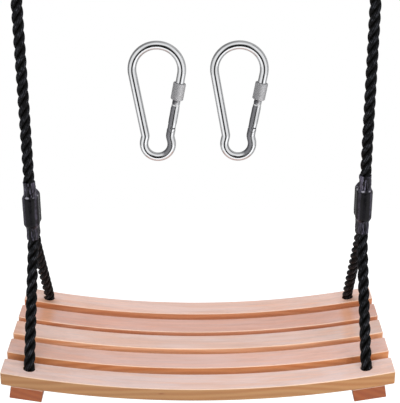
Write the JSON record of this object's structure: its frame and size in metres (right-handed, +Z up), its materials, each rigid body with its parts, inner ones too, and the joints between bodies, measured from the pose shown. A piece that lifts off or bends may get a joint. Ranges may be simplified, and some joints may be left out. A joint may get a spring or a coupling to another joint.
{
  "type": "swing seat",
  "caption": "Slatted wooden swing seat on forked ropes with thimbled top eyes, and separate screw-lock snap hooks to hang it from.",
  "frame": {"origin": "middle of the hanging axis, the line through the bores of the top thimbles", "axes": "+X along the seat to the right, -Y to the front of the seat, +Z up"},
  "size_m": [0.437, 0.208, 0.5649],
  "materials": {
    "slat_wood": "planed softwood under a thin satin oil",
    "batten_wood": "darker planed wood, end grain to the front",
    "rope": "three-strand twisted synthetic rope, black",
    "shrink_film": "heat-shrunk film, soft sheen",
    "ferrule_metal": "pressed",
    "thimble_steel": "zinc plated",
    "hook_steel": "polished bright zinc",
    "nut_steel": "knurled, matt grey",
    "spring_steel": "drawn wire",
    "screw_steel": "zinc plated"
  },
  "bodies": {
    "root": {"hook_body_left": "hook_steel", "gate_pin_left": "hook_steel", "hook_body_right": "hook_steel", "gate_pin_right": "hook_steel"},
    "swing": {"slat_front": "slat_wood", "slat_front_middle": "slat_wood", "slat_middle": "slat_wood", "slat_rear_middle": "slat_wood", "slat_rear": "slat_wood", "batten_left": "batten_wood", "batten_screws_left": "screw_steel", "rope_left": "rope", "lower_ferrule_left": "ferrule_metal", "lower_film_left": "shrink_film", "upper_ferrule_left": "ferrule_metal", "upper_film_left": "shrink_film", "thimble_left": "thimble_steel", "batten_right": "batten_wood", "batten_screws_right": "screw_steel", "rope_right": "rope", "lower_ferrule_right": "ferrule_metal", "lower_film_right": "shrink_film", "upper_ferrule_right": "ferrule_metal", "upper_film_right": "shrink_film", "thimble_right": "thimble_steel"},
    "gate_left": {"hook_gate_left": "hook_steel", "gate_plunger_left": "hook_steel", "gate_spring_left": "spring_steel"},
    "nut_left": {"lock_nut_left": "nut_steel"},
    "gate_right": {"hook_gate_right": "hook_steel", "gate_plunger_right": "hook_steel", "gate_spring_right": "spring_steel"},
    "nut_right": {"lock_nut_right": "nut_steel"}
  },
  "joints": [
    {"name": "swing_to_and_fro", "type": "hinge", "parent": "root", "child": "swing", "pos_m": [0, 0, 0], "axis": [1, 0, 0], "range_deg": [-60, 60]},
    {"name": "gate_left_open", "type": "hinge", "parent": "root", "child": "gate_left", "pos_m": [-0.02771, 0, -0.25094], "axis": [0, -1, 0], "range_deg": [0, 28], "stiffness_Nm_per_rad": 0.5, "springref_deg": -22.92},
    {"name": "nut_left_travel", "type": "slide", "parent": "gate_left", "child": "nut_left", "axis": [-0.1857, 0, -0.9826], "range_m": [-0.007, 0.009]},
    {"name": "gate_right_open", "type": "hinge", "parent": "root", "child": "gate_right", "pos_m": [0.06159, 0, -0.25094], "axis": [0, -1, 0], "range_deg": [0, 28], "stiffness_Nm_per_rad": 0.5, "springref_deg": -22.92},
    {"name": "nut_right_travel", "type": "slide", "parent": "gate_right", "child": "nut_right", "axis": [-0.1857, 0, -0.9826], "range_m": [-0.007, 0.009]}
  ]
}
